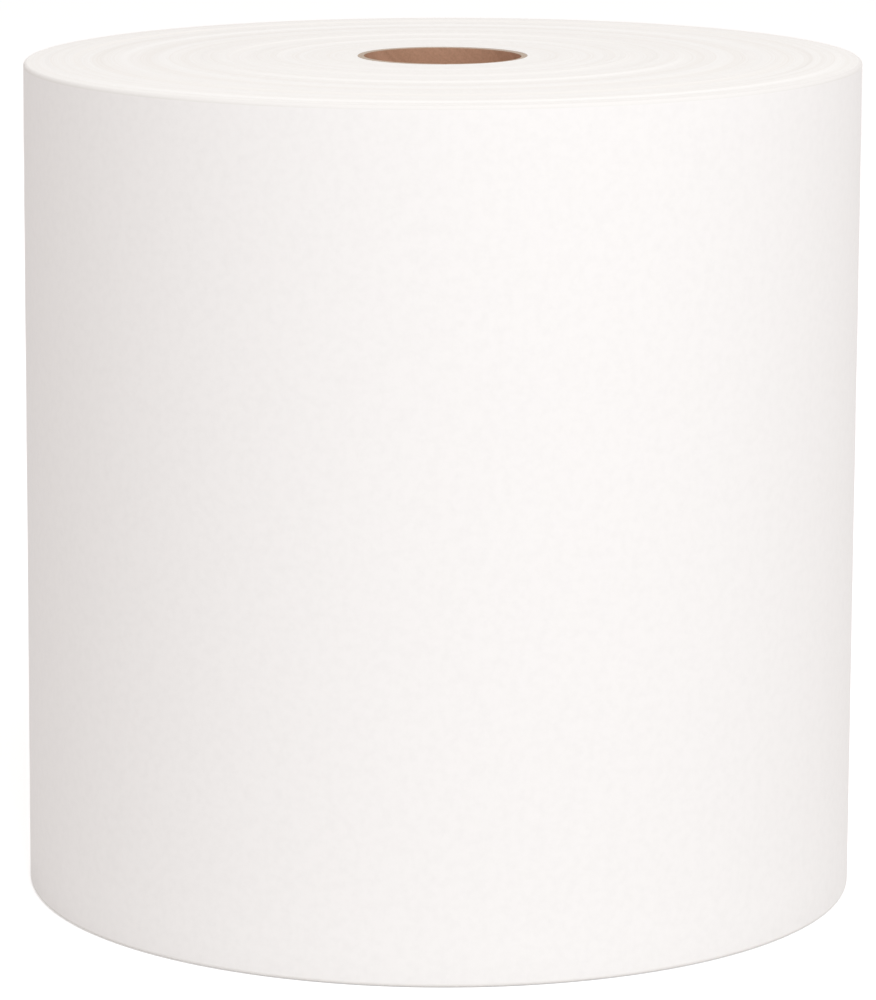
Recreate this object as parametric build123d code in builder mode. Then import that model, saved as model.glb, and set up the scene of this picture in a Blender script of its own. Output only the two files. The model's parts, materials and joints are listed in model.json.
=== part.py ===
from build123d import *

import math
import os

# A hard-wound roll of paper towel on its paperboard core, standing on one end.
# Sizes are in millimetres. The origin is the centre of the bottom end face, +Z runs up
# the core's axis, and the side that faces the viewer is -Y.

# The towel
towel_width = 203.2  # 8 in across the web, which is the height of the standing roll
roll_diameter = 203.0  # over the cut end of the last turn
sheet_caliper = 0.2  # one layer of towel where it lies loose, at its cut end
tail_angle = 105.0  # degrees from +X towards +Y to the cut end of the last turn
rim_softness = 1.0  # how far the saw and handling have broken the rim of each end

# Rings of turns that the winder laid a little to one side of the rest
rings = 6
least_shift = 0.15
shift_step = 0.1  # what each ring of a set of three adds to the shift of the one before
ring_share = 0.45  # of the spacing from one ring to the next
share_step = 0.08  # what the rings of a set of three differ by in that share

# The core
core_bore = 38.1  # 1.5 in
core_plies = 3
ply_caliper = 0.5
ply_width = 76.2  # a 3 in strip, wound on the slant into the tube
seam_gap = 0.9  # what the edges of the inner ply leave open between them
seam_start = 240.0  # degrees from +X towards +Y to where the seam's climb begins

# Sizes that follow
roll_radius = roll_diameter / 2
bore_radius = core_bore / 2
core_radius = bore_radius + core_plies * ply_caliper
ring_spacing = (roll_radius - core_radius) / (rings + 0.5)

# The upright plane through the axis and the tail: local x points outwards, local y up
tail_plane = Plane.XZ.rotated((0, 0, tail_angle))

# The turns of the towel, as one solid
with BuildPart() as wound_towel:
    # The outside is one turn of a spiral, made of two half turns about upright lines on
    # either side of the axis. It grows by one layer, and steps back to the layer below
    # at the tail. The first half starts on the tail's side, the second on the far side.
    for half in (1, -1):
        centre_x = -half * sheet_caliper / 4
        reach = roll_radius - (2 + half) * sheet_caliper / 4
        with BuildSketch(tail_plane) as half_section:
            with Locations((centre_x, 0)):
                Rectangle(reach, towel_width, align=(Align.MIN, Align.MIN))
            chamfer(half_section.vertices().sort_by(Axis.X)[-2:], rim_softness)
            if half == -1:
                mirror(about=Plane.YZ.offset(centre_x), mode=Mode.REPLACE)
        centre = Axis(tail_plane.from_local_coords((centre_x, 0, 0)), (0, 0, 1))
        revolve(axis=centre, revolution_arc=180)

    # A ring that has moved up leaves a hollow in the bottom face and stands out of the top
    for end, mode in ((0, Mode.SUBTRACT), (towel_width, Mode.ADD)):
        with BuildSketch(tail_plane):
            for ring in range(rings):
                shift = least_shift + shift_step * (ring % 3)
                width = ring_spacing * (ring_share + share_step * (ring % 3 - 1))
                with Locations((core_radius + (ring + 0.75) * ring_spacing, end)):
                    Trapezoid(width + 2 * shift, 2 * shift, 45)
        revolve(axis=Axis.Z, mode=mode)

    Hole(core_radius)

wound_towel.part.label = "wound_towel"

# The core, a tube of plies wound on the slant, with the inner ply's seam in its bore
seam_lead = math.asin(ply_width / (math.pi * (core_bore + ply_caliper)))
seam_height = seam_gap / math.cos(seam_lead)

with BuildPart() as core_tube:
    with BuildSketch():
        Circle(core_radius)
        Circle(bore_radius, mode=Mode.SUBTRACT)
    extrude(amount=towel_width)

    # The seam runs on past both ends, so that it is open there
    with BuildLine() as seam:
        Helix(
            pitch=ply_width / math.cos(seam_lead),
            height=towel_width + 2 * seam_height,
            radius=bore_radius,
            center=(0, 0, -seam_height),
        )
    route = seam.line.rotate(Axis.Z, seam_start)
    outwards = Vector(1, 0, 0).rotate(Axis.Z, seam_start)
    with BuildSketch(Plane(origin=route @ 0, x_dir=outwards, z_dir=route % 0)):
        Rectangle(2 * ply_caliper, seam_gap)
    sweep(path=route, is_frenet=True, mode=Mode.SUBTRACT)

core_tube.part.label = "core_tube"

os.makedirs("parts", exist_ok=True)
for piece in (wound_towel, core_tube):
    export_step(piece.part, f"parts/{piece.part.label}.step")
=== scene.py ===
"""Looks of a hard-wound paper towel roll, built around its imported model.

Everything is in metres, in the model's frame: the origin is the centre of the bottom end
face, +Z runs up the core's axis, and the camera looks along +Y.
"""

import json
import logging
import math
import random
from dataclasses import dataclass
from enum import Enum

import bmesh
import bpy
from mathutils import Matrix, Vector


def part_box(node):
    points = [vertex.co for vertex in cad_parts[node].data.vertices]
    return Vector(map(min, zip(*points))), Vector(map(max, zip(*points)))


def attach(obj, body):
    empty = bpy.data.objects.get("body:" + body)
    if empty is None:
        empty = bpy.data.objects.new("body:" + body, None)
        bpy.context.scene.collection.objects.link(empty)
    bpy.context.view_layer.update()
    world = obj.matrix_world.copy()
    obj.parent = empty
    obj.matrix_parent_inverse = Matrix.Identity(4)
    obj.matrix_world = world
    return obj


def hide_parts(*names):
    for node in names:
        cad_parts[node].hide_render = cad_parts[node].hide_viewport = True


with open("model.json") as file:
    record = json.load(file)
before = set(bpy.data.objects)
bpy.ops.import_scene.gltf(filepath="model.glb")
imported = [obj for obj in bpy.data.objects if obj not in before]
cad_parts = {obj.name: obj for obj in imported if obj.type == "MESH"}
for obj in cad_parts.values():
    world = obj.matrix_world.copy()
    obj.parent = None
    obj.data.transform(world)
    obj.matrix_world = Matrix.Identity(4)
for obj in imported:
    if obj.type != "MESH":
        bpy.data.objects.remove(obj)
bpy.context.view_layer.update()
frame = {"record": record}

MM = 0.001
# Points nearer than this are one point
MERGE = 0.001 * MM
log = logging.getLogger("towel_roll")

Point = tuple[float, float]
Colour = tuple[float, float, float, float]
Socket = bpy.types.NodeSocket


class Facing(Enum):
    """Which end of the roll a face closes, as the sign of its outward normal."""

    DOWN = -1
    UP = 1


class Zone(Enum):
    """The zones of the towel's surface, each as the index of its material."""

    END_FACE = 0
    RIM = 1
    SHEET = 2


# Tools for meshes


def deselect() -> None:
    """Leaves edit mode and deselects everything."""
    if bpy.context.object and bpy.context.object.mode != "OBJECT":
        bpy.ops.object.mode_set(mode="OBJECT")
    bpy.ops.object.select_all(action="DESELECT")


def draw_profile(name: str, points: list[Point]) -> bpy.types.Object:
    """Draws a line in the XZ plane, and stays in edit mode with all of it selected.

    Args:
        name: what the new object is called.
        points: distance from the axis and height of each point, in order.

    Returns:
        The new object, whose mesh is that line.
    """
    deselect()
    bpy.ops.mesh.primitive_plane_add(size=MM)
    piece = bpy.context.object
    piece.name = name
    bpy.ops.object.mode_set(mode="EDIT")
    bpy.ops.mesh.select_all(action="SELECT")
    bpy.ops.mesh.merge(type="CENTER")
    bpy.ops.transform.translate(value=(points[0][0], 0, points[0][1]))
    for (x0, z0), (x1, z1) in zip(points, points[1:]):
        move = {"value": (x1 - x0, 0, z1 - z0)}
        bpy.ops.mesh.extrude_vertices_move(TRANSFORM_OT_translate=move)
    bpy.ops.mesh.select_all(action="SELECT")
    return piece


def turn(angle: float, axis: str = "Z", pivot: Point = (0.0, 0.0)) -> None:
    """Turns what is selected by the right-hand rule about a line along one axis.

    Args:
        angle: in radians.
        axis: X, Y or Z.
        pivot: X and Z of a point on the line.
    """
    # With no window the operator turns the other way
    bpy.ops.transform.rotate(
        value=-angle, orient_axis=axis, center_override=(pivot[0], 0, pivot[1])
    )


def spin_round(piece: bpy.types.Object, steps: int) -> None:
    """Spins the selected line once round the Z axis and closes the result up."""
    bpy.ops.mesh.spin(steps=steps, angle=2 * math.pi, center=(0, 0, 0), axis=(0, 0, 1))
    close_up(piece)


def close_up(piece: bpy.types.Object) -> None:
    """Merges the doubles of a piece, turns its faces outwards and leaves edit mode.

    Args:
        piece: the active object, in either mode.
    """
    bpy.context.view_layer.objects.active = piece
    bpy.ops.object.mode_set(mode="EDIT")
    bpy.ops.mesh.select_all(action="SELECT")
    bpy.ops.mesh.remove_doubles(threshold=MERGE)
    bpy.ops.mesh.normals_make_consistent(inside=False)
    bpy.ops.object.mode_set(mode="OBJECT")


def cut_away(piece: bpy.types.Object, tool: bpy.types.Object) -> None:
    """Cuts one closed mesh out of another.

    Args:
        piece: what is cut.
        tool: what is cut out of it, and then thrown away.
    """
    deselect()
    piece.select_set(True)
    bpy.context.view_layer.objects.active = piece
    cut = piece.modifiers.new("cut", "BOOLEAN")
    cut.operation, cut.solver, cut.object = "DIFFERENCE", "EXACT", tool
    bpy.ops.object.modifier_apply(modifier=cut.name)
    bpy.data.objects.remove(tool)


def hand_over(piece: bpy.types.Object, node: str, sharp: float) -> None:
    """Shades a finished piece smooth and puts it in the place of its CAD node.

    Args:
        piece: the finished piece.
        node: the CAD node that it stands for.
        sharp: edges past this many degrees stay crisp.
    """
    deselect()
    piece.select_set(True)
    bpy.context.view_layer.objects.active = piece
    bpy.ops.object.shade_smooth_by_angle(angle=math.radians(sharp))
    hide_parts(node)
    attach(piece, "root")
    piece.data.calc_loop_triangles()
    size = " x ".join(f"{side / MM:.1f}" for side in piece.dimensions)
    log.info("%s: %s mm, %d triangles", piece.name, size, len(piece.data.loop_triangles))


# Tools for materials


def linear(hex_colour: str) -> Colour:
    """Turns an sRGB hex colour into the linear one that Blender's sockets take.

    Args:
        hex_colour: such as #F4F1EE.

    Returns:
        Red, green, blue and an alpha of 1.
    """
    parts = [int(hex_colour[i : i + 2], 16) / 255 for i in (1, 3, 5)]
    red, green, blue = (
        c / 12.92 if c <= 0.04045 else ((c + 0.055) / 1.055) ** 2.4 for c in parts
    )
    return red, green, blue, 1.0


def add(
    tree: bpy.types.NodeTree,
    kind: str,
    settings: dict[str, object] | None = None,
    **inputs: float | tuple | Socket,
) -> bpy.types.Node:
    """Adds a node to a tree.

    Args:
        tree: the tree.
        kind: the node's type, without ShaderNode.
        settings: properties of the node itself.
        **inputs: a value or an output socket for each input, under the input's name in
            small letters with _ for a space, or under i and its number.

    Returns:
        The node.
    """
    node = tree.nodes.new("ShaderNode" + kind)
    for key, value in (settings or {}).items():
        setattr(node, key, value)
    # Where inputs share a name, the first of them has it
    named = {s.name.lower().replace(" ", "_"): s for s in reversed(node.inputs)}
    for key, value in inputs.items():
        socket = node.inputs[int(key[1:])] if key[1:].isdigit() else named[key]
        if isinstance(value, Socket):
            tree.links.new(value, socket)
        else:
            socket.default_value = value
    return node


@dataclass(frozen=True)
class Finish:
    """A matt, fibrous surface, which is what paper and board both have."""

    name: str = ""
    colour: str = "#FFFFFF"
    low_colour: str = "#FFFFFF"
    roughness: float = 0.9
    specular: float = 0.3
    # The pale bloom of loose fibres, seen at a slant
    fuzz: float = 0.0
    fuzz_roughness: float = 0.6

    def draw(self, tree: bpy.types.NodeTree, place: Socket) -> tuple[Socket, Socket]:
        """Adds the nodes that draw this finish.

        Args:
            tree: the material's tree.
            place: the Object coordinates.

        Returns:
            How much of the main colour shows, from 0 to 1, and the relief's normal.
        """
        raise NotImplementedError

    def make(self) -> bpy.types.Material:
        """Builds the material.

        Returns:
            The material, with plain values on the shader's own sockets.
        """
        material = bpy.data.materials.new(self.name)
        material.use_nodes = True
        tree = material.node_tree
        tree.nodes.clear()
        place = add(tree, "TexCoord").outputs["Object"]
        share, relief = self.draw(tree, place)
        low, high = linear(self.low_colour), linear(self.colour)
        mixed = add(tree, "Mix", {"data_type": "RGBA"}, i0=share, i6=low, i7=high)
        shader = add(
            tree,
            "BsdfPrincipled",
            base_color=mixed.outputs[2],
            normal=relief,
            roughness=self.roughness,
            specular_ior_level=self.specular,
            sheen_weight=self.fuzz,
            sheen_roughness=self.fuzz_roughness,
        )
        add(tree, "OutputMaterial", surface=shader.outputs[0])
        return material


@dataclass(frozen=True)
class CrepedTowel(Finish):
    """Towel paper: a bleached web, creped off a drier and pressed nearly smooth again.

    Creping leaves fine ridges across the web, which stand upright on the roll, and the
    felt leaves a fine grain. The loose fibres make it quite matt. The ridges are 0.3 mm
    apart on the real web, too fine to show, so they are drawn at three times that.
    """

    name: str = "creped_towel_paper"
    colour: str = "#F5F3F1"
    low_colour: str = "#F2F0EE"
    roughness: float = 0.95
    fuzz: float = 0.1
    crepe_spacing: float = 0.9 * MM
    crepe_length: float = 7 * MM
    crepe_height: float = 0.014 * MM
    grain_size: float = 2.0 * MM
    grain_height: float = 0.014 * MM

    def draw(self, tree: bpy.types.NodeTree, place: Socket) -> tuple[Socket, Socket]:
        """Draws upright ridges and grain, and a tone that follows the grain.

        Args:
            tree: the material's tree.
            place: the Object coordinates.

        Returns:
            How much of the main colour shows, from 0 to 1, and the relief's normal.
        """
        across, along = 1 / self.crepe_spacing, 1 / self.crepe_length
        upright = add(tree, "Mapping", vector=place, scale=(across, across, along))
        crepe = add(
            tree, "TexNoise", vector=upright.outputs[0], scale=1.0, detail=3.0, roughness=0.6
        )
        grain = add(
            tree, "TexNoise", vector=place, scale=1 / self.grain_size, detail=3.0, roughness=0.6
        )
        ridges = add(tree, "Bump", height=crepe.outputs[0], distance=self.crepe_height)
        relief = add(
            tree,
            "Bump",
            height=grain.outputs[0],
            distance=self.grain_height,
            normal=ridges.outputs[0],
        )
        share = add(tree, "MapRange", value=grain.outputs[0], from_min=0.25, from_max=0.6)
        return share.outputs[0], relief.outputs[0]


@dataclass(frozen=True)
class WoundEdges(Finish):
    """The edges of the towel's turns, slit by a round blade and then wound side by side.

    Each turn is a fine line round the end face, and the slit fibres are a little duller in
    gloss than the sheet, while their colour is painted a little lighter than the sheet's, as
    painted light on the end faces. The turns lie 0.13 mm apart, too fine to show, so the lines
    are drawn at four times that, and they wander a little as the turns do.
    """

    name: str = "slit_towel_edges"
    # Painted light: lighter than the sheet's colour, so that the end faces look lit from above
    colour: str = "#F9F8F5"
    low_colour: str = "#F4F1EC"
    roughness: float = 1.0
    specular: float = 0.2
    fuzz: float = 0.1
    line_spacing: float = 0.5 * MM
    line_height: float = 0.02 * MM
    band_spacing: float = 5 * MM
    wander: float = 0.6 * MM
    wander_size: float = 45 * MM
    lint_size: float = 0.6 * MM

    def draw(self, tree: bpy.types.NodeTree, place: Socket) -> tuple[Socket, Socket]:
        """Draws lines and wider bands about the Z axis, with lint on them.

        Args:
            tree: the material's tree.
            place: the Object coordinates.

        Returns:
            How much of the main colour shows, from 0 to 1, and the relief's normal.
        """
        flat = add(tree, "VectorMath", {"operation": "MULTIPLY"}, i0=place, i1=(1, 1, 0))
        out = add(tree, "VectorMath", {"operation": "LENGTH"}, i0=flat.outputs[0])
        drift = add(tree, "TexNoise", vector=place, scale=1 / self.wander_size, detail=1.0)
        wandering = add(
            tree,
            "Math",
            {"operation": "MULTIPLY_ADD"},
            i0=drift.outputs[0],
            i1=self.wander,
            i2=out.outputs["Value"],
        )
        lines, bands = (
            add(
                tree,
                "TexNoise",
                {"noise_dimensions": "1D"},
                w=wandering.outputs[0],
                scale=1 / spacing,
                detail=2.0,
                roughness=0.7,
            ).outputs[0]
            for spacing in (self.line_spacing, self.band_spacing)
        )
        lint = add(tree, "TexNoise", vector=place, scale=1 / self.lint_size, detail=3.0)
        tone = add(tree, "Math", {"operation": "ADD"}, i0=lines, i1=bands)
        share = add(tree, "MapRange", value=tone.outputs[0], from_min=0.6, from_max=1.2)
        rough = add(tree, "Math", {"operation": "ADD"}, i0=lines, i1=lint.outputs[0])
        relief = add(tree, "Bump", height=rough.outputs[0], distance=self.line_height)
        return share.outputs[0], relief.outputs[0]


@dataclass(frozen=True)
class RimWithPaintedShade(WoundEdges):
    """The rim of each end, where the outermost turns' edges round over.

    Its colour is painted shade, a little darker than the end faces', which holds down the
    highlight that the lamp puts on the rounded rim.
    """

    name: str = "broken_rim_paper"
    # Painted shade: darker than the end faces' colours, against the lamp's highlight on the rim
    colour: str = "#F2F0ED"
    low_colour: str = "#EDEAE6"


@dataclass(frozen=True)
class KraftBoard(Finish):
    """Unbleached core board: tan kraft plies, wound on the slant and glued.

    Its fibres run along each ply, so soft streaks climb round the tube with the seam.
    """

    # How far the plies climb in one turn
    lead_height: float = 98 * MM
    name: str = "kraft_core_board"
    colour: str = "#CDA287"
    low_colour: str = "#B28A70"
    roughness: float = 0.88
    streak_width: float = 2.0 * MM
    # How fast a streak changes along its ply, as a share of across it
    streak_stretch: float = 0.08
    fleck_size: float = 0.5 * MM
    fleck_height: float = 0.03 * MM

    def draw(self, tree: bpy.types.NodeTree, place: Socket) -> tuple[Socket, Socket]:
        """Draws streaks that climb one lead in a turn, and a fleck of loose fibres.

        Args:
            tree: the material's tree.
            place: the Object coordinates.

        Returns:
            How much of the main colour shows, from 0 to 1, and the relief's normal.
        """
        axes = add(tree, "SeparateXYZ", i0=place).outputs
        about = add(tree, "Math", {"operation": "ARCTAN2"}, i0=axes[1], i1=axes[0]).outputs[0]
        per_turn = 2 * math.pi / self.lead_height
        climb = add(tree, "Math", {"operation": "MULTIPLY"}, i0=axes[2], i1=per_turn).outputs[0]
        # The phase is the same all along one fibre, and its circle leaves no join
        phase = add(tree, "Math", {"operation": "SUBTRACT"}, i0=climb, i1=about).outputs[0]
        ahead = add(tree, "Math", {"operation": "COSINE"}, i0=phase)
        aside = add(tree, "Math", {"operation": "SINE"}, i0=phase)
        stretched = per_turn * self.streak_stretch
        along = add(tree, "Math", {"operation": "MULTIPLY"}, i0=axes[2], i1=stretched)
        fibre = add(
            tree, "CombineXYZ", i0=ahead.outputs[0], i1=aside.outputs[0], i2=along.outputs[0]
        )
        streaks = add(
            tree,
            "TexNoise",
            vector=fibre.outputs[0],
            scale=1 / (per_turn * self.streak_width),
            detail=4.0,
            roughness=0.55,
        ).outputs[0]
        flecks = add(
            tree, "TexNoise", vector=place, scale=1 / self.fleck_size, detail=2.0, roughness=0.7
        ).outputs[0]
        tone = add(tree, "Math", {"operation": "ADD"}, i0=streaks, i1=flecks)
        share = add(tree, "MapRange", value=tone.outputs[0], from_min=0.6, from_max=1.3)
        relief = add(tree, "Bump", height=flecks, distance=self.fleck_height)
        return share.outputs[0], relief.outputs[0]


@dataclass(frozen=True)
class CutBoard(Finish):
    """The core's cut ends, where the saw tore the fibres of the plies.

    The torn fibres stand open and hold white lint of the towel, so the ends are paler,
    greyer and more matt than the board's face.
    """

    name: str = "cut_core_board"
    colour: str = "#CDBDAD"
    low_colour: str = "#B3A494"
    roughness: float = 1.0
    specular: float = 0.2
    fibre_size: float = 0.4 * MM
    fibre_height: float = 0.05 * MM

    def draw(self, tree: bpy.types.NodeTree, place: Socket) -> tuple[Socket, Socket]:
        """Draws torn fibres.

        Args:
            tree: the material's tree.
            place: the Object coordinates.

        Returns:
            How much of the main colour shows, from 0 to 1, and the relief's normal.
        """
        torn = add(
            tree, "TexNoise", vector=place, scale=1 / self.fibre_size, detail=3.0, roughness=0.7
        ).outputs[0]
        share = add(tree, "MapRange", value=torn, from_min=0.3, from_max=0.7)
        relief = add(tree, "Bump", height=torn, distance=self.fibre_height)
        return share.outputs[0], relief.outputs[0]


@dataclass
class WoundTowel:
    """The web of towel, all its turns in one closed mesh.

    The rings of turns, the rim, the tail and the sheet have part.py's sizes. On top of
    them come the small faults of winding, whose sizes are guessed from the photograph.
    """

    radius: float
    core_radius: float
    width: float
    caliper: float = 0.2 * MM
    tail_angle: float = math.radians(105)
    rim_softness: float = 1.0 * MM
    # The rings come in sets, and within a set each one is wider and has moved further
    rings: int = 6
    ring_set: int = 3
    # Where the first ring's middle lies, in spacings out from the core
    first_ring: float = 0.75
    ring_share: float = 0.45
    share_step: float = 0.08
    least_shift: float = 0.15 * MM
    shift_step: float = 0.1 * MM
    # What one ring's turns spread its step over
    ring_ease: float = 1.6 * MM
    # How far the innermost turns have crept up past the outermost ones
    creep: float = 0.6 * MM
    # How much further the turns build up at the lower end than at the upper one
    taper: float = 0.5 * MM
    # How far out of square the upper end is
    skew: float = 0.006
    # How far the loose end stands off the turn below, and over how many steps
    tail_lift: float = 1.0 * MM
    tail_steps: int = 12
    # How far the tool for the gap clears the turn below, and runs out past the ends
    gap_clearance: float = 0.02 * MM
    gap_run_out: float = 5 * MM
    # Fine grooves between groups of turns, whose spacing and depth vary by these factors
    groove_spacing: float = 2.2 * MM
    groove_width: float = 0.4 * MM
    groove_depth: float = 0.045 * MM
    spacing_spread: tuple[float, float] = (0.6, 1.4)
    depth_spread: tuple[float, float] = (0.3, 1.0)
    # How far the outside may be proud or hollow at a level
    band_height: float = 0.03 * MM
    wall_levels: int = 24
    rim_levels: int = 5
    segments: int = 240
    sharp_angle: float = 40.0
    seed: int = 7

    @property
    def shoulder(self) -> float:
        """Where the flat of the end faces turns into the rim."""
        return self.radius - self.caliper - self.rim_softness

    def ring_flanks(self) -> list[tuple[float, float, float]]:
        """Places the rings, as part.py does.

        Returns:
            Each ring's inner and outer flank, and how far its turns have shifted.
        """
        spacing = (self.radius - self.core_radius) / (self.rings + 0.5)
        flanks = []
        for ring in range(self.rings):
            rank = ring % self.ring_set
            middle = self.core_radius + (ring + self.first_ring) * spacing
            half = spacing * (self.ring_share + self.share_step * (rank - 1)) / 2
            shift = self.least_shift + self.shift_step * rank
            flanks.append((middle - half, middle + half, shift))
        return flanks

    def shifted(self, out: float) -> float:
        """How far the turns at a distance from the axis have moved up along it.

        Args:
            out: the distance.

        Returns:
            The shift, from the creep of all turns and the ring that they are in.
        """
        height = self.creep * (1 - (out / self.shoulder) ** 2)
        for inner, outer, shift in self.ring_flanks():
            inside = min(out - inner, outer - out) / self.ring_ease + 0.5
            part = min(max(inside, 0.0), 1.0)
            height += shift * part * part * (3 - 2 * part)
        return height

    def face_line(self, facing: Facing) -> list[Point]:
        """One end face's section, from the core out to the shoulder of the rim.

        Args:
            facing: which end.

        Returns:
            Distance from the axis and height of each point, in order outwards.
        """
        draw = random.Random(self.seed)
        flanks = [flank for ring in self.ring_flanks() for flank in ring[:2]]
        # Depth under the face at each distance: first none, at the quarters of each slope
        marks = {
            flank + self.ring_ease * quarter / 4: 0.0
            for flank in flanks
            for quarter in range(-2, 3)
        }
        half, room = self.groove_width / 2, self.ring_ease / 2 + self.groove_width
        groove = self.core_radius + self.groove_spacing
        while groove < self.shoulder - self.groove_width:
            depth = self.groove_depth * draw.uniform(*self.depth_spread)
            if min(abs(groove - flank) for flank in flanks) > room:
                marks |= {groove - half: 0.0, groove: depth, groove + half: 0.0}
            groove += self.groove_spacing * draw.uniform(*self.spacing_spread)
        marks |= {self.core_radius: 0.0, self.shoulder: 0.0}
        flat = self.width if facing is Facing.UP else 0.0
        return [
            (out, flat + self.shifted(out) - facing.value * marks[out]) for out in sorted(marks)
        ]

    def wall_line(self) -> list[Point]:
        """The outside's section, from the bottom rim's shoulder up to the top one's.

        Returns:
            Distance from the axis and height of each point, in order upwards.
        """
        draw = random.Random(self.seed)
        soft, steps = self.rim_softness, self.rim_levels
        rim = [math.pi / 2 * i / steps for i in range(steps + 1)]
        section = [(math.sin(a), soft * (1 - math.cos(a))) for a in rim]
        rise = self.width - 2 * soft
        section += [(1.0, soft + rise * i / self.wall_levels) for i in range(1, self.wall_levels)]
        section += [(math.sin(a), self.width - soft * (1 - math.cos(a))) for a in rim[::-1]]
        line = []
        for share, height in section:
            band = self.band_height * draw.uniform(-1, 1) if share == 1.0 else 0.0
            proud = soft + self.taper * (0.5 - height / self.width) + band
            line.append((self.shoulder + share * proud, height))
        return line

    def build_ends(self) -> bpy.types.Object:
        """Both end faces and the hole for the core, spun about the axis.

        Returns:
            The mesh, open at the shoulder of each rim.
        """
        section = self.face_line(Facing.DOWN)[::-1] + self.face_line(Facing.UP)
        piece = draw_profile("towel_turns", section)
        turn(self.tail_angle)
        spin_round(piece, self.segments)
        return piece

    def pick(self, piece: bpy.types.Object, first: int, last: int) -> None:
        """Selects points by the order in which they were extruded.

        Args:
            piece: the object, in edit mode.
            first: index of the first point.
            last: index after the last one.
        """
        bpy.ops.mesh.select_all(action="DESELECT")
        mesh = bmesh.from_edit_mesh(piece.data)
        mesh.verts.ensure_lookup_table()
        for point in mesh.verts[first:last]:
            point.select = True
        mesh.select_flush_mode()
        bmesh.update_edit_mesh(piece.data)

    def stand_off(self, back: float) -> float:
        """How far the tail stands off the turn below, so many steps before its end."""
        return self.tail_lift * (1 - back / self.tail_steps) ** 2

    def move_out(self, back: float, away: float) -> None:
        """Moves what is selected straight out from the axis.

        Args:
            back: where it lies, in steps before the tail's end.
            away: how far it moves.
        """
        angle = self.tail_angle - 2 * math.pi * back / self.segments
        bpy.ops.transform.translate(value=(away * math.cos(angle), away * math.sin(angle), 0))

    def build_outside(self) -> bpy.types.Object:
        """The last turn, which grows by one sheet on its way round to the tail.

        Returns:
            The mesh, closed at the tail and open at the shoulder of each rim.
        """
        levels = len(self.wall_line())
        piece = draw_profile("towel_outside", self.wall_line())
        turn(self.tail_angle)
        growth = self.caliper / self.segments
        below = self.radius - self.caliper
        for step in range(1, self.segments + 1):
            bpy.ops.mesh.extrude_edges_move(TRANSFORM_OT_translate={"value": (0, 0, 0)})
            turn(2 * math.pi / self.segments)
            # The shoulders stay on the end faces, and what lies between them moves out
            self.pick(piece, step * levels + 1, (step + 1) * levels - 1)
            wider = (below + step * growth) / (below + (step - 1) * growth)
            bpy.ops.transform.resize(value=(wider, wider, 1), center_override=(0, 0, 0))
            self.pick(piece, step * levels, (step + 1) * levels)
        for back in range(self.tail_steps):
            start = (self.segments - back) * levels
            self.pick(piece, start + 1, start + levels - 1)
            self.move_out(back, self.stand_off(back))
        bpy.ops.mesh.select_all(action="SELECT")
        bpy.ops.mesh.remove_doubles(threshold=MERGE)
        self.select_tail_cut(piece)
        bpy.ops.mesh.edge_face_add()
        bpy.ops.object.mode_set(mode="OBJECT")
        return piece

    def select_tail_cut(self, piece: bpy.types.Object) -> None:
        """Selects the open edges between the tail's end and the turn below it.

        Args:
            piece: the outside, in edit mode.
        """
        bpy.ops.mesh.select_all(action="DESELECT")
        mesh = bmesh.from_edit_mesh(piece.data)
        across = Vector((-math.sin(self.tail_angle), math.cos(self.tail_angle), 0))
        for edge in mesh.edges:
            in_plane = all(abs(point.co.dot(across)) < MERGE for point in edge.verts)
            if edge.is_boundary and in_plane:
                edge.select = True
        mesh.select_flush_mode()
        bmesh.update_edit_mesh(piece.data)

    def build_gap(self) -> bpy.types.Object:
        """The air between the loose end and the turn below, as a tool to cut it with.

        Returns:
            A closed mesh, a wedge that runs out past both ends and past the tail.
        """
        wall = self.wall_line()
        foot, head = -self.gap_run_out, self.width + self.gap_run_out
        # Its inner side follows the turn below, round the rims too
        inner = [(out + self.gap_clearance, height) for out, height in wall]
        inner = [(inner[0][0], foot), *inner, (inner[-1][0], head)]
        # Its outer side is the back of the loose end, straight on past the rims
        straight = wall[self.rim_levels : -self.rim_levels]
        outer = [(out + self.stand_off(-0.5), height) for out, height in straight]
        outer = [(outer[-1][0], head), *outer[::-1], (outer[0][0], foot)]
        piece = draw_profile("tail_gap", inner + outer + inner[:1])
        # Its rows lie half a step off the sheet's own, so that no two edges meet
        step, points = 2 * math.pi / self.segments, len(inner + outer) + 1
        turn(self.tail_angle + step / 2)
        for row in range(1, self.tail_steps - 1):
            back = row - 0.5
            bpy.ops.mesh.extrude_edges_move(TRANSFORM_OT_translate={"value": (0, 0, 0)})
            turn(-step)
            self.pick(piece, row * points + len(inner), (row + 1) * points - 1)
            self.move_out(back, self.stand_off(back) - self.stand_off(back - 1))
            self.pick(piece, row * points, (row + 1) * points)
        close_up(piece)
        bpy.ops.object.mode_set(mode="EDIT")
        bpy.ops.mesh.select_all(action="SELECT")
        bpy.ops.mesh.fill_holes(sides=0)
        close_up(piece)
        return piece

    def cut_out_of_square(self, piece: bpy.types.Object) -> None:
        """Tilts the upper end about its centre, so that its left side is the lower one.

        Args:
            piece: the joined piece, in object mode.
        """
        bpy.ops.object.mode_set(mode="EDIT")
        bpy.ops.mesh.select_all(action="DESELECT")
        mesh = bmesh.from_edit_mesh(piece.data)
        # A hair under the rim, so that its lowest points tilt too
        foot = self.width - self.rim_softness - 10 * MERGE
        for point in mesh.verts:
            point.select = point.co.z > foot
        mesh.select_flush_mode()
        bmesh.update_edit_mesh(piece.data)
        turn(-self.skew, "Y", (0.0, self.width))
        bpy.ops.object.mode_set(mode="OBJECT")

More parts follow.
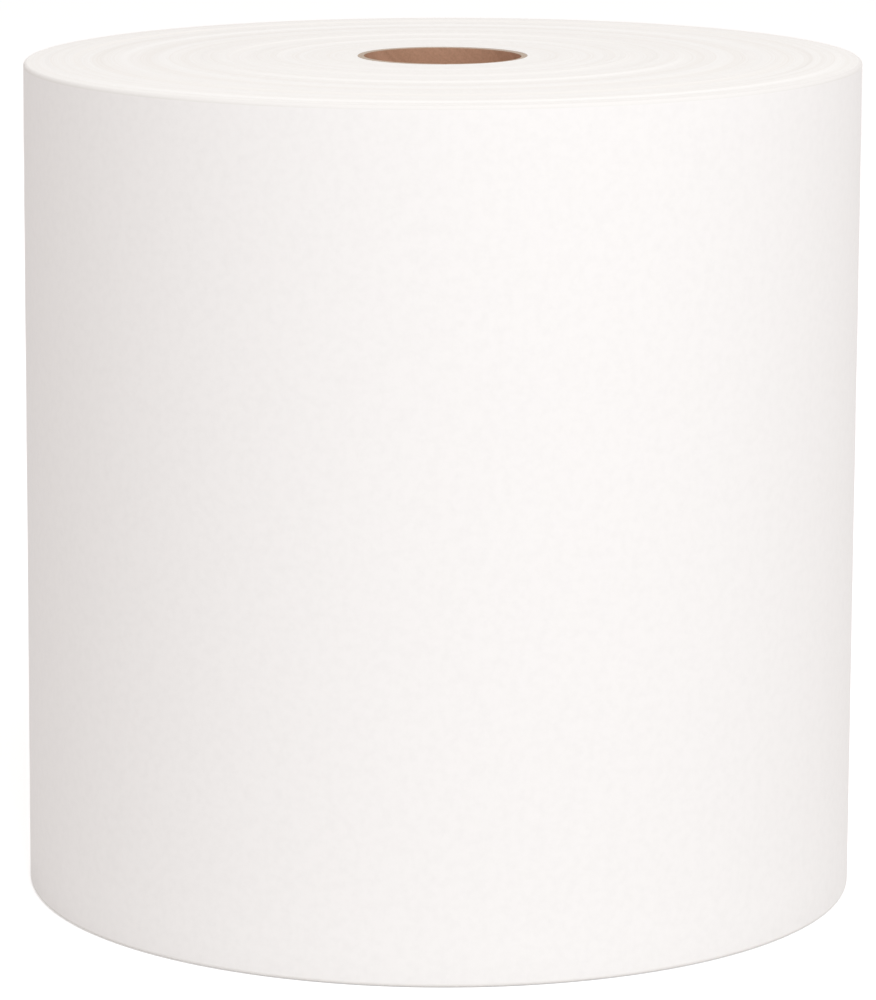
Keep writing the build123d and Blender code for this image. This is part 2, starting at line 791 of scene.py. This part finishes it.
    def dress(self, piece: bpy.types.Object, finishes: dict[Zone, Finish]) -> None:
        """Gives the web its finishes.

        Args:
            piece: the joined piece, in object mode and still square.
            finishes: the finish of each zone.
        """
        for zone in Zone:
            piece.data.materials.append(finishes[zone].make())
        for face in piece.data.polygons:
            middle = face.center
            zone = Zone.SHEET
            if min(middle.z, self.width - middle.z) < self.rim_softness:
                past = math.hypot(middle.x, middle.y) > self.shoulder
                zone = Zone.RIM if past else Zone.END_FACE
            face.material_index = zone.value

    def build(self, finishes: dict[Zone, Finish]) -> bpy.types.Object:
        """Builds the piece.

        Args:
            finishes: the finish of each zone.

        Returns:
            The finished piece, in place.
        """
        piece = self.build_ends()
        outside = self.build_outside()
        deselect()
        piece.select_set(True)
        outside.select_set(True)
        bpy.context.view_layer.objects.active = piece
        bpy.ops.object.join()
        close_up(piece)
        cut_away(piece, self.build_gap())
        close_up(piece)
        self.dress(piece, finishes)
        self.cut_out_of_square(piece)
        hand_over(piece, "wound_towel", self.sharp_angle)
        return piece


@dataclass
class CoreTube:
    """The core: three plies of board, with the inner one's seam climbing round the bore."""

    outer_radius: float
    bore_radius: float
    length: float
    # How far it has crept up with the innermost turns
    raised: float
    ply_caliper: float = 0.5 * MM
    ply_width: float = 76.2 * MM
    seam_gap: float = 0.9 * MM
    # Where the climb begins, from +X towards +Y
    seam_start: float = math.radians(240)
    # Half the width, and the depth, of the groove between two plies at each end
    glue_line: float = 0.06 * MM
    edge_softness: float = 0.12 * MM
    segments: int = 144
    sharp_angle: float = 30.0

    @property
    def seam_lead(self) -> float:
        """The angle at which the plies climb."""
        return math.asin(self.ply_width / (math.pi * (2 * self.bore_radius + self.ply_caliper)))

    @property
    def lead_height(self) -> float:
        """How far the plies climb in one turn."""
        return self.ply_width / math.cos(self.seam_lead)

    def end_line(self, facing: Facing) -> list[Point]:
        """One end's section from the bore outwards, with a fine groove between plies.

        Args:
            facing: which end.

        Returns:
            Distance from the axis and height of each point.
        """
        flat = self.length if facing is Facing.UP else 0.0
        soft, fine = self.edge_softness, self.glue_line
        line = [(self.bore_radius, soft), (self.bore_radius + soft, 0.0)]
        joint = self.bore_radius + self.ply_caliper
        while joint < self.outer_radius - soft:
            line += [(joint - fine, 0.0), (joint, fine), (joint + fine, 0.0)]
            joint += self.ply_caliper
        line += [(self.outer_radius - soft, 0.0), (self.outer_radius, soft)]
        return [(out, flat - facing.value * depth) for out, depth in line]

    def build_tube(self) -> bpy.types.Object:
        """The plain tube.

        Returns:
            A closed mesh.
        """
        section = self.end_line(Facing.DOWN) + self.end_line(Facing.UP)[::-1]
        piece = draw_profile("core_board", section + section[:1])
        spin_round(piece, self.segments)
        return piece

    def build_seam(self) -> bpy.types.Object:
        """A bar that fills the open seam, as a tool to cut it with.

        Returns:
            A closed mesh, which runs out past both ends.
        """
        run_out = self.seam_gap / math.cos(self.seam_lead)
        inner, outer = (self.bore_radius + side * self.ply_caliper for side in (-1, 1))
        half = self.seam_gap / 2
        section = [(inner, -half), (outer, -half), (outer, half), (inner, half)]
        piece = draw_profile("seam_cutter", section)
        bpy.ops.mesh.edge_face_add()
        turn(self.seam_lead, "X")
        bpy.ops.transform.translate(value=(0, 0, -run_out))
        climb = self.lead_height / self.segments
        for _ in range(math.ceil((self.length + 2 * run_out) / climb)):
            bpy.ops.mesh.extrude_region_move(TRANSFORM_OT_translate={"value": (0, 0, climb)})
            turn(2 * math.pi / self.segments)
        bpy.ops.mesh.select_all(action="SELECT")
        turn(self.seam_start)
        close_up(piece)
        return piece

    def dress(self, piece: bpy.types.Object, board: Finish, cut: Finish) -> None:
        """Gives the tube its two finishes, the cut one on what faces up or down.

        Args:
            piece: the tube.
            board: the finish of the bore and the outside.
            cut: the finish of both ends.
        """
        piece.data.materials.clear()
        piece.data.materials.append(board.make())
        piece.data.materials.append(cut.make())
        for face in piece.data.polygons:
            at_end = min(face.center.z, self.length - face.center.z) < self.edge_softness
            faces_end = abs(face.normal.z) > 0.5
            face.material_index = int(at_end and faces_end)

    def build(self, board: Finish, cut: Finish) -> bpy.types.Object:
        """Builds the piece.

        Args:
            board: the finish of the bore and the outside.
            cut: the finish of both ends.

        Returns:
            The finished piece, in place.
        """
        tube = self.build_tube()
        cut_away(tube, self.build_seam())
        self.dress(tube, board, cut)
        bpy.ops.object.mode_set(mode="EDIT")
        bpy.ops.mesh.select_all(action="SELECT")
        bpy.ops.transform.translate(value=(0, 0, self.raised))
        bpy.ops.object.mode_set(mode="OBJECT")
        hand_over(tube, "core_tube", self.sharp_angle)
        return tube


@dataclass
class Studio:
    """A pale floor that runs out of sight, one large soft lamp and an even pale sky."""

    target: Vector
    floor_size: float = 14.0
    floor_colour: str = "#F0F0F0"
    # What brings the floor up to white where the camera sees it
    floor_lift: float = 0.42
    sky_colour: str = "#FFF8F6"
    sky_strength: float = 0.655
    lamp_colour: tuple[float, float, float] = (0.915, 0.968, 1.0)
    lamp_power: float = 25.1
    lamp_size: float = 1.4
    lamp_distance: float = 2.2
    # In degrees: to the camera's right, and above the level of the target
    lamp_azimuth: float = 18.5
    lamp_elevation: float = 48.5

    def seen(self, tree: bpy.types.NodeTree) -> Socket:
        """1 for what the camera sees, also in a mirror or through glass, and 0 for light.

        Args:
            tree: the tree to add the nodes to.

        Returns:
            The output socket.
        """
        path = add(tree, "LightPath").outputs
        clamped = {"operation": "ADD", "use_clamp": True}
        direct = add(tree, "Math", clamped, i0=path["Is Camera Ray"], i1=path["Is Glossy Ray"])
        through = path["Is Transmission Ray"]
        return add(tree, "Math", clamped, i0=direct.outputs[0], i1=through).outputs[0]

    def build_floor(self) -> None:
        """Builds a matt white floor, which keeps the roll's shadow."""
        deselect()
        bpy.ops.mesh.primitive_plane_add(size=self.floor_size)
        floor = bpy.context.object
        floor.name = "studio_floor"
        material = bpy.data.materials.new("matt_studio_floor")
        material.use_nodes = True
        tree = material.node_tree
        tree.nodes.clear()
        matt = add(tree, "BsdfDiffuse", color=linear(self.floor_colour))
        seen = self.seen(tree)
        glow = add(tree, "Math", {"operation": "MULTIPLY"}, i0=seen, i1=self.floor_lift)
        light = add(tree, "Emission", color=(1, 1, 1, 1), strength=glow.outputs[0])
        both = add(tree, "AddShader", i0=matt.outputs[0], i1=light.outputs[0])
        add(tree, "OutputMaterial", surface=both.outputs[0])
        floor.data.materials.append(material)

    def build_sky(self) -> None:
        """Builds an even sky: pale as a light, and plain white where the camera sees it."""
        world = bpy.data.worlds.new("studio_sky")
        world.use_nodes = True
        tree = world.node_tree
        tree.nodes.clear()
        sky = add(tree, "Background", color=linear(self.sky_colour), strength=self.sky_strength)
        white = add(tree, "Background", color=(1, 1, 1, 1), strength=1.0)
        seen = self.seen(tree)
        mixed = add(tree, "MixShader", i0=seen, i1=sky.outputs[0], i2=white.outputs[0])
        add(tree, "OutputWorld", surface=mixed.outputs[0])
        bpy.context.scene.world = world

    def build_lamp(self) -> None:
        """Builds the soft lamp, above the camera and to its right."""
        lamp = bpy.data.lights.new("soft_lamp", "AREA")
        lamp.energy, lamp.size, lamp.color = self.lamp_power, self.lamp_size, self.lamp_colour
        holder = bpy.data.objects.new("soft_lamp", lamp)
        bpy.context.scene.collection.objects.link(holder)
        side, up = math.radians(self.lamp_azimuth), math.radians(self.lamp_elevation)
        level = Vector((math.sin(side), -math.cos(side), 0)) * math.cos(up)
        away = level + Vector((0, 0, math.sin(up)))
        holder.location = self.target + away * self.lamp_distance
        holder.rotation_euler = away.to_track_quat("Z", "Y").to_euler()

    def build(self) -> None:
        """Builds the floor, the sky and the lamp, and sets the plain view."""
        self.build_floor()
        self.build_sky()
        self.build_lamp()
        bpy.context.scene.view_settings.view_transform = "Standard"
        log.info("studio: floor, sky and lamp")


@dataclass
class PhotoCamera:
    """The photograph's camera, as fitted to the roll's sides, rims and core."""

    distance: float = 1181.0 * MM
    height: float = 327.1 * MM
    # In radians: how far it looks down, is turned to its left, and leans to its left
    pitch: float = 0.1947
    yaw: float = 0.0005
    roll: float = 0.0048
    # The focal length in pixels of an image whose long side is image_side
    focal: float = 4890.7
    image_side: float = 1000.0
    sensor_mm: float = 36.0

    def build(self) -> None:
        """Adds the camera and makes it the scene's."""
        data = bpy.data.cameras.new("photo_camera")
        data.sensor_fit = "AUTO"
        data.sensor_width = self.sensor_mm
        data.lens = self.sensor_mm * self.focal / self.image_side
        camera = bpy.data.objects.new("photo_camera", data)
        bpy.context.scene.collection.objects.link(camera)
        camera.location = (0, -self.distance, self.height)
        aimed = Matrix.Rotation(self.yaw, 4, "Z") @ Matrix.Rotation(
            math.pi / 2 - self.pitch, 4, "X"
        )
        camera.rotation_euler = (aimed @ Matrix.Rotation(self.roll, 4, "Z")).to_euler()
        bpy.context.scene.camera = camera
        log.info("camera: %.0f mm lens", data.lens)


def main() -> None:
    """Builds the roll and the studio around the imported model."""
    logging.basicConfig(level=logging.INFO, format="%(message)s")
    bore = next(m for m in frame["record"]["mounts"] if m["name"] == "core_bore")["dims"]
    length = bore["length_mm"] * MM
    core_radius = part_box("core_tube")[1].x
    towel = WoundTowel(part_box("wound_towel")[1].y, core_radius, length)
    core = CoreTube(core_radius, bore["r_mm"] * MM, length, towel.shifted(core_radius))
    # The rim's finish is painted shade
    towel.build({Zone.END_FACE: WoundEdges(), Zone.RIM: RimWithPaintedShade(), Zone.SHEET: CrepedTowel()})
    core.build(KraftBoard(lead_height=core.lead_height), CutBoard())
    Studio(Vector((0, 0, length / 2))).build()
    PhotoCamera().build()


if __name__ == "__main__":
    main()
